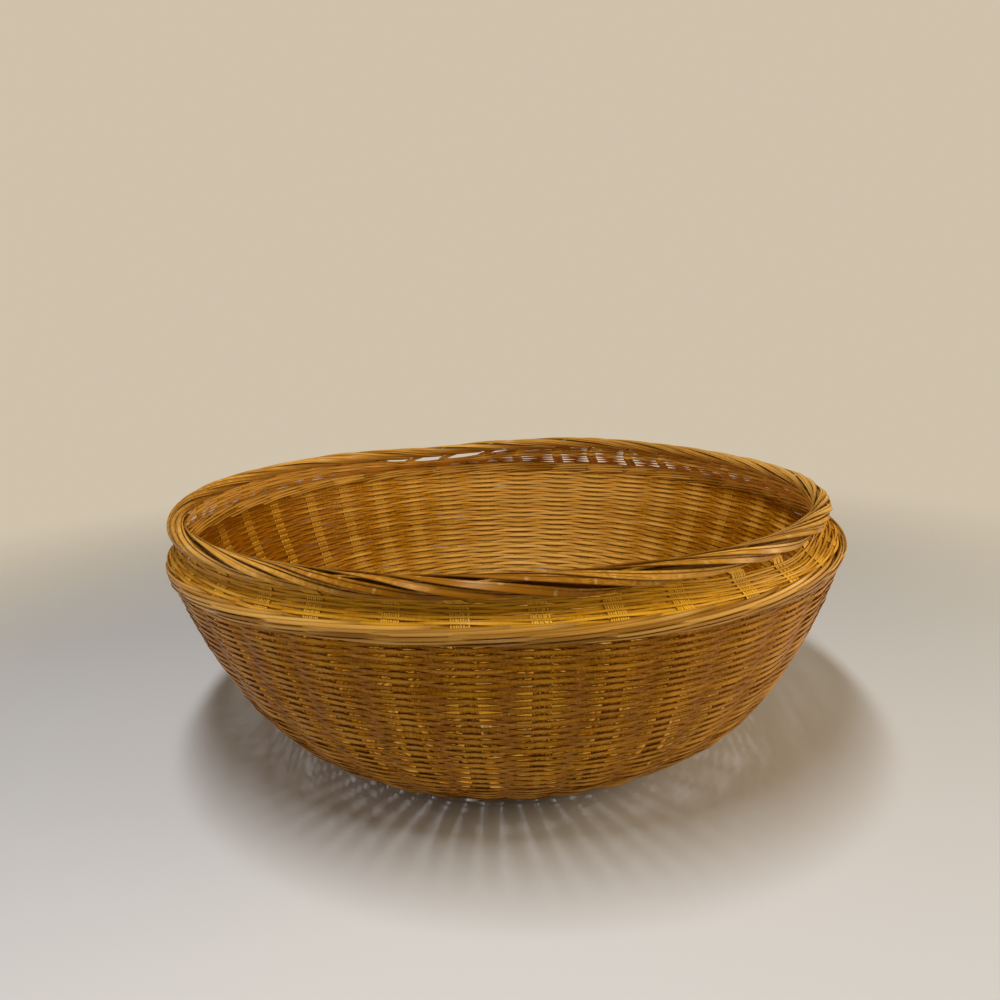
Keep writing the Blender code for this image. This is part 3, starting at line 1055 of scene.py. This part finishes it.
class Sketch:
    """A material's nodes, added and joined a few at a time."""

    def __init__(self, name: str) -> None:
        """Starts a material with its shader.

        Args:
            name: the material's name.
        """
        stale = bpy.data.materials.get(name)
        if stale:
            stale.name = f"{name}_solid"
        self.material = bpy.data.materials.new(name)
        self.material.use_nodes = True
        self.nodes = self.material.node_tree.nodes
        self.shader = self.nodes["Principled BSDF"]

    def add(self, kind: str, inputs: dict | None = None, **settings: object) -> bpy.types.Node:
        """A node with its settings, and each named or numbered input set or joined.

        Args:
            kind: the node's type without its prefix.
            inputs: a value or a socket for each input.
            settings: the node's own properties.

        Returns:
            The node.
        """
        node = self.nodes.new(f"ShaderNode{kind}")
        for key, value in settings.items():
            setattr(node, key, value)
        for key, value in (inputs or {}).items():
            self.set(node, key, value)
        return node

    def set(self, node: bpy.types.Node, key: str | int, value: object) -> None:
        """Sets an input of a node, or joins a socket to it.

        Args:
            node: the node.
            key: the input's name or number.
            value: what it gets.
        """
        if isinstance(value, bpy.types.NodeSocket):
            self.material.node_tree.links.new(value, node.inputs[key])
        else:
            node.inputs[key].default_value = value

    def sum(self, operation: str, *values: object) -> bpy.types.NodeSocket:
        """The result of one arithmetic step."""
        return self.add("Math", dict(enumerate(values)), operation=operation).outputs[0]

    def noise(self, vector: object, scale: float, detail: float = 2.0) -> bpy.types.NodeSocket:
        """A noise pattern, from 0 to 1."""
        return self.add("TexNoise", {"Vector": vector, "Scale": scale, "Detail": detail}).outputs[0]

    def span(self, value: object, source: tuple, target: tuple, **settings: object) -> bpy.types.NodeSocket:
        """A value carried over from one range to another.

        Args:
            value: the value.
            source: the range that it is read in, outside which it is clamped.
            target: the range that it is carried over to.
            settings: the node's own properties.

        Returns:
            The new value.
        """
        numbers = dict(enumerate((value, *source, *target)))
        return self.add("MapRange", numbers, **settings).outputs[0]

    def mix(self, factor: object, first: object, second: tuple) -> bpy.types.NodeSocket:
        """The first colour, with a share of the second."""
        return self.add("MixRGB", {0: factor, 1: first, 2: (*second, 1)}).outputs[0]

    def ramp(self, factor: object, stops: list[tuple[float, tuple]]) -> bpy.types.NodeSocket:
        """A colour read from a ramp.

        Args:
            factor: the place on the ramp.
            stops: places and their colours.

        Returns:
            The colour.
        """
        node = self.add("ValToRGB", {0: factor})
        while len(node.color_ramp.elements) < len(stops):
            node.color_ramp.elements.new(0.5)
        for element, (position, colour) in zip(node.color_ramp.elements, stops):
            element.position = position
            element.color = (*colour, 1)
        return node.outputs[0]


@dataclass(frozen=True)
class BambooVarnish:
    """Split bamboo under a warm satin varnish.

    Attributes:
        slot: the record's slot.
        dark: the colour of its darkest grain.
        middle: its common colour.
        pale: the colour of its palest splints.
        node_colour: the colour at the culm's nodes.
        scars: how much of the nodes' colour shows.
        stops: the tones of the three colours of its grain.
        roughness: its least and greatest roughness.
        gloss: how strong the gloss of the bamboo is.
        gloss_tint: its tint.
        coat: how strong the varnish's own gloss is.
        coat_roughness: the varnish's roughness.
        relief_depth: how deep the relief of its grain is.
        painted_edge_shade: painted shade along a splint's edges, standing for the dark gaps between splints:
            how much darker the edges are.
        edge_shade_depth: how dark that painted shade can be, as a share of the darkest grain's colour.
        inner_side_and_sheen: how much of a pale colour the inner face shows, on dark splints and on pale
            ones: the paler inner side of the bamboo, and on pale weavers a painted sheen.
        inner_side_and_sheen_colour: that colour.
        fibre_scale: how fine the fibres are along the splint and across it.
        blotch_scale: the same for its darker and paler stretches.
        mottle_scale: the same for the specks at a node.
        nodes_per_metre: how often a culm has a node.
        node_reach: how far from a node its scar starts to show, and shows in full, in nodes.
        grain_shift: how far a splint's tone moves its grain, so that no two have the same.
        node_shift: how far it moves its nodes, in nodes.
    """

    slot: Finish
    dark: tuple[float, float, float]
    middle: tuple[float, float, float]
    pale: tuple[float, float, float]
    node_colour: tuple[float, float, float]
    scars: float
    stops: tuple[float, float, float] = (0.15, 0.5, 0.9)
    roughness: tuple[float, float] = (0.30, 0.46)
    gloss: float = 0.13
    gloss_tint: tuple[float, float, float] = (1.0, 0.62, 0.12)
    coat: float = 0.06
    coat_roughness: float = 0.22
    relief_depth: float = 0.00012
    painted_edge_shade: float = 0.66
    edge_shade_depth: float = 0.55
    inner_side_and_sheen: tuple[float, float] = (0.15, 0.15)
    inner_side_and_sheen_colour: tuple[float, float, float] = (0.68, 0.37, 0.035)
    fibre_scale: tuple[float, float] = (45.0, 2600.0)
    blotch_scale: tuple[float, float] = (22.0, 260.0)
    mottle_scale: tuple[float, float] = (700.0, 1500.0)
    nodes_per_metre: float = 3.3
    node_reach: tuple[float, float] = (0.032, 0.012)
    grain_shift: float = 91.0
    node_shift: float = 7.3

    def make(self) -> bpy.types.Material:
        """Mixes the varnish: grain along each splint, its own tone, and a pale scarred node now and then.

        Returns:
            The material.
        """
        sketch = Sketch(self.slot.value)
        grain = sketch.add("UVMap", uv_map="splint")
        parts = sketch.add("SeparateXYZ", {0: grain.outputs[0]})
        tone = sketch.add("Attribute", attribute_name="tone").outputs["Fac"]
        length, width = parts.outputs[0], parts.outputs[1]
        shift = sketch.sum("MULTIPLY", tone, self.grain_shift)

        def stretched(along: float, across: float) -> bpy.types.NodeSocket:
            """Coordinates drawn out along the splint."""
            return sketch.add("CombineXYZ", {
                0: sketch.sum("MULTIPLY", length, along),
                1: sketch.sum("MULTIPLY", width, across),
                2: shift,
            }).outputs[0]

        fibre = sketch.noise(stretched(*self.fibre_scale), 1.0, 3.0)
        blotch = sketch.noise(stretched(*self.blotch_scale), 1.0, 2.0)
        mottle = sketch.noise(stretched(*self.mottle_scale), 1.0, 2.0)
        shade = sketch.sum("MULTIPLY_ADD", fibre, 0.8, -0.4)
        drift = sketch.sum("MULTIPLY_ADD", blotch, 0.6, -0.3)
        factor = sketch.sum("ADD", sketch.sum("ADD", shade, drift), tone)
        colour = sketch.ramp(factor, list(zip(self.stops, (self.dark, self.middle, self.pale))))

        culms = sketch.sum("MULTIPLY", length, self.nodes_per_metre)
        turns = sketch.sum("ADD", culms, sketch.sum("MULTIPLY", tone, self.node_shift))
        from_node = sketch.sum("ABSOLUTE", sketch.sum("SUBTRACT", sketch.sum("FRACT", turns), 0.5))
        scar = sketch.span(from_node, self.node_reach, (0.0, 1.0))
        flecks = sketch.span(mottle, (0.42, 0.6), (0.25, 0.95))
        scarred = sketch.sum("MULTIPLY", sketch.sum("MULTIPLY", scar, flecks), self.scars)
        colour = sketch.mix(scarred, colour, self.node_colour)

        # Inner faces mixed towards a pale colour: the paler inner side of the bamboo, and on pale weavers a
        # painted sheen standing for the lamp's reflection inside the bowl.
        inner_side_and_sheen = sketch.span(tone, (0.35, 0.75), self.inner_side_and_sheen)
        inner = sketch.span(width, (0.4 * INNER_FACE, 0.6 * INNER_FACE), (0.0, inner_side_and_sheen))
        colour = sketch.mix(inner, colour, self.inner_side_and_sheen_colour)

        # Painted shade along each splint's edges, standing for the dark gaps between splints.
        edge = sketch.add("Attribute", attribute_name="edge").outputs["Fac"]
        shaded_edge = sketch.sum("ADD", edge, sketch.sum("MULTIPLY_ADD", blotch, 0.3, -0.15))
        edge_shadow = sketch.span(shaded_edge, (0.5, 1.0), (0.0, self.painted_edge_shade))
        deep = tuple(self.edge_shade_depth * share for share in self.dark)
        sketch.set(sketch.shader, "Base Color", sketch.mix(edge_shadow, colour, deep))
        sketch.set(sketch.shader, "Roughness", sketch.span(fibre, (0.3, 0.7), self.roughness))

        relief = sketch.sum("ADD", fibre, sketch.sum("MULTIPLY", scar, mottle))
        bump = sketch.add("Bump", {"Strength": 0.5, "Distance": self.relief_depth, "Height": relief})
        sketch.set(sketch.shader, "Normal", bump.outputs[0])
        sketch.set(sketch.shader, "Specular IOR Level", self.gloss)
        sketch.set(sketch.shader, "Specular Tint", (*self.gloss_tint, 1))
        sketch.set(sketch.shader, "Coat Weight", self.coat)
        sketch.set(sketch.shader, "Coat Roughness", self.coat_roughness)
        return sketch.material


@dataclass(frozen=True)
class Lamp:
    """An oblong soft lamp.

    Attributes:
        name: its name.
        place: where it hangs.
        aim: the point that it faces.
        size: its width and length.
        power: its power in watts.
        colour: its colour.
    """

    name: str
    place: tuple[float, float, float]
    aim: tuple[float, float, float]
    size: tuple[float, float]
    power: float
    colour: tuple[float, float, float]

    def hang(self) -> None:
        """Hangs the lamp in the scene."""
        data = bpy.data.lights.new(self.name, "AREA")
        data.shape = "RECTANGLE"
        data.size, data.size_y = self.size
        data.energy, data.color = self.power, self.colour
        lamp = bpy.data.objects.new(self.name, data)
        bpy.context.scene.collection.objects.link(lamp)
        lamp.location = self.place
        lamp.rotation_euler = (Vector(self.aim) - Vector(self.place)).to_track_quat("-Z", "Y").to_euler()


@dataclass(frozen=True)
class Studio:
    """A plain pale floor, soft light from above and the photograph's camera.

    Attributes:
        floor_colour: the floor.
        floor_radius: the floor disc's radius.
        floor_fade: how far from its middle it starts to fade into the backdrop, and has done so.
        backdrop: what is seen behind it.
        fill_colour: the light from all round.
        fill_strength: its strength.
        lamps: a tube overhead, and a wide lamp on each side.
        focal_length: the camera's, in millimetres.
        sensor_width: the width of its sensor, in millimetres.
        camera_distance: how far in front of the bowl's middle it stands.
        camera_height: its height.
        camera_pitch: how far it looks down, in degrees.
        camera_roll: how far it leans, in degrees.
        camera_yaw: how far it is turned, in degrees.
    """

    floor_colour: tuple[float, float, float] = (0.565, 0.57, 0.582)
    floor_radius: float = 3.0
    floor_fade: tuple[float, float] = (0.30, 0.85)
    backdrop: tuple[float, float, float] = (0.63, 0.54, 0.41)
    fill_colour: tuple[float, float, float] = (1.0, 0.76, 0.45)
    fill_strength: float = 0.13
    lamps: tuple[Lamp, ...] = (
        Lamp("tube_lamp", (-0.10, -0.36, 0.95), (-0.10, -0.36, -0.05), (0.08, 0.5), 7.7, (1.0, 1.0, 1.0)),
        Lamp("right_fill", (1.3, -0.2, 0.50), (0, 0, 0.08), (1.0, 0.8), 15.0, (1.0, 0.86, 0.62)),
        Lamp("left_fill", (-1.3, -0.2, 0.50), (0, 0, 0.08), (1.0, 0.8), 4.3, (1.0, 0.90, 0.78)),
    )
    focal_length: float = 28.8
    sensor_width: float = 36
    camera_distance: float = 0.470
    camera_height: float = 0.235
    camera_pitch: float = 12.1
    camera_roll: float = 1.45
    camera_yaw: float = 0.14

    def floor(self) -> None:
        """A wide disc that fades into the backdrop towards its edge."""
        bpy.ops.object.select_all(action="DESELECT")
        bpy.ops.mesh.primitive_circle_add(vertices=96, radius=self.floor_radius, fill_type="NGON")
        disc = bpy.context.object
        disc.name = "floor"
        sketch = Sketch("pale_floor")
        sketch.set(sketch.shader, "Base Color", (*self.floor_colour, 1))
        sketch.set(sketch.shader, "Roughness", 0.6)
        place = sketch.add("TexCoord").outputs["Object"]
        reach = sketch.add("VectorMath", {0: place}, operation="LENGTH").outputs["Value"]
        far = sketch.span(reach, self.floor_fade, (0.0, 1.0), interpolation_type="SMOOTHSTEP")
        camera_ray = sketch.add("LightPath").outputs["Is Camera Ray"]
        shaded = sketch.add("MixShader", {
            0: sketch.sum("MULTIPLY", far, camera_ray),
            1: sketch.shader.outputs[0],
            2: sketch.add("BsdfTransparent").outputs[0],
        })
        sketch.set(sketch.nodes["Material Output"], "Surface", shaded.outputs[0])
        disc.data.materials.append(sketch.material)

    def world(self) -> None:
        """A pale surrounding that also shows as the backdrop."""
        world = bpy.data.worlds.new("studio")
        world.use_nodes = True
        bpy.context.scene.world = world
        nodes, links = world.node_tree.nodes, world.node_tree.links
        fill = nodes["Background"]
        fill.inputs[0].default_value = (*self.fill_colour, 1)
        fill.inputs[1].default_value = self.fill_strength
        seen = nodes.new("ShaderNodeBackground")
        seen.inputs[0].default_value = (*self.backdrop, 1)
        seen.inputs[1].default_value = 1.0
        rays, mix = nodes.new("ShaderNodeLightPath"), nodes.new("ShaderNodeMixShader")
        links.new(rays.outputs["Is Camera Ray"], mix.inputs[0])
        links.new(fill.outputs[0], mix.inputs[1])
        links.new(seen.outputs[0], mix.inputs[2])
        links.new(mix.outputs[0], nodes["World Output"].inputs[0])

    def camera(self) -> None:
        """The photograph's view, for a square picture."""
        data = bpy.data.cameras.new("camera")
        data.lens, data.sensor_width = self.focal_length, self.sensor_width
        data.clip_start, data.clip_end = 0.01, 20
        camera = bpy.data.objects.new("camera", data)
        bpy.context.scene.collection.objects.link(camera)
        turn = Matrix.Rotation(math.radians(self.camera_yaw), 4, "Z")
        tip = Matrix.Rotation(math.radians(90 - self.camera_pitch), 4, "X")
        roll = Matrix.Rotation(math.radians(-self.camera_roll), 4, "Z")
        place = Matrix.Translation((0, -self.camera_distance, self.camera_height))
        camera.matrix_world = place @ turn @ tip @ roll
        bpy.context.scene.camera = camera

    def build(self) -> None:
        """Sets the stage."""
        self.floor()
        self.world()
        for lamp in self.lamps:
            lamp.hang()
        self.camera()
        bpy.context.scene.view_settings.view_transform = "Standard"


def make_finishes() -> None:
    """The three varnished finishes."""
    pale_node = (0.62, 0.42, 0.17)
    for varnish in (
        BambooVarnish(
            Finish.STAKE, (0.31, 0.085, 0.001), (0.66, 0.31, 0.012), (0.86, 0.48, 0.05), pale_node,
            scars=0.3, inner_side_and_sheen=(0.6, 0.6),
        ),
        BambooVarnish(
            Finish.WEAVER, (0.225, 0.07, 0.001), (0.46, 0.195, 0.006), (0.66, 0.32, 0.02), pale_node,
            scars=0.2, coat=0.03, painted_edge_shade=0.72, inner_side_and_sheen=(0.0, 0.5), inner_side_and_sheen_colour=(0.84, 0.47, 0.13),
        ),
        BambooVarnish(
            Finish.BORDER, (0.25, 0.092, 0.005), (0.47, 0.222, 0.030), (0.71, 0.385, 0.08), pale_node,
            scars=0.5, coat=0.12, painted_edge_shade=0.8, roughness=(0.26, 0.40),
        ),
    ):
        varnish.make()


def weave_rows(bowl: BowlShape) -> None:
    """Weaves the floor, the wall and the collar.

    Args:
        bowl: the surface that they cover.
    """
    ring = SplintBlank(sections=bowl.stake_ends * PlainWeave.sections_per_stake, closed=True)
    under_ring, under_rim = 0.0018, 0.0028
    PlainWeave(
        bowl, "floor", bowl.fan_radius, bowl.wall_start, solids=4, pitches=(0.0021, 0.0024), seed=1000,
    ).build(ring)
    PlainWeave(
        bowl, "wall", bowl.wall_start, bowl.wall_end + under_ring, solids=16,
        pitches=(0.0026, 0.0026, 0.0026, 0.00234, 0.00188, 0.00182), seed=3000, parity=1,
        thin_places=((255, 55, 0.28),), bare_places=((150, 45, 0.22),),
        # Painted light and shade round the wall: a painted sheen inside at the back, painted shade on the
        # left and at the right back, and painted light at the right front.
        shaded=((80, 32, 0.34), (165, 30, -0.23), (15, 25, -0.08), (335, 25, 0.10)),
    ).build(ring)
    PlainWeave(
        bowl, "collar", bowl.ring_end - under_ring, bowl.collar_end + under_rim, solids=2,
        pitches=(0.0014, 0.0014), seed=7000,
        fill=(1.20, 1.10), spread=0.85, thickness=0.0004, slack=0.0, tone=0.86, unevenness=0.13,
        thin_places=((62, 22, 0.60),), bare_places=((275, 75, 0.62),),
        sags=((106, 18, 0.34), (66, 18, 0.12), (301, 9, 0.24), (316, 11, 0.38)),
        # Painted light and shade round the collar: painted shade at the left front and under the rim at the
        # back, painted light at the front.
        shaded=((215, 28, -0.14), (275, 30, 0.10), (85, 60, -0.28)),
    ).build(ring)


def main() -> None:
    """Builds the bowl's sub-assemblies in the order they are made in, then the studio."""
    logging.basicConfig(level=logging.INFO, format="%(name)s: %(message)s")
    make_finishes()
    bowl = BowlShape()
    StakeRibbons(bowl).build()
    weave_rows(bowl)
    ShoulderRing(bowl).build()
    RolledRim(bowl).build()
    Studio().build()


if __name__ == "__main__":
    main()
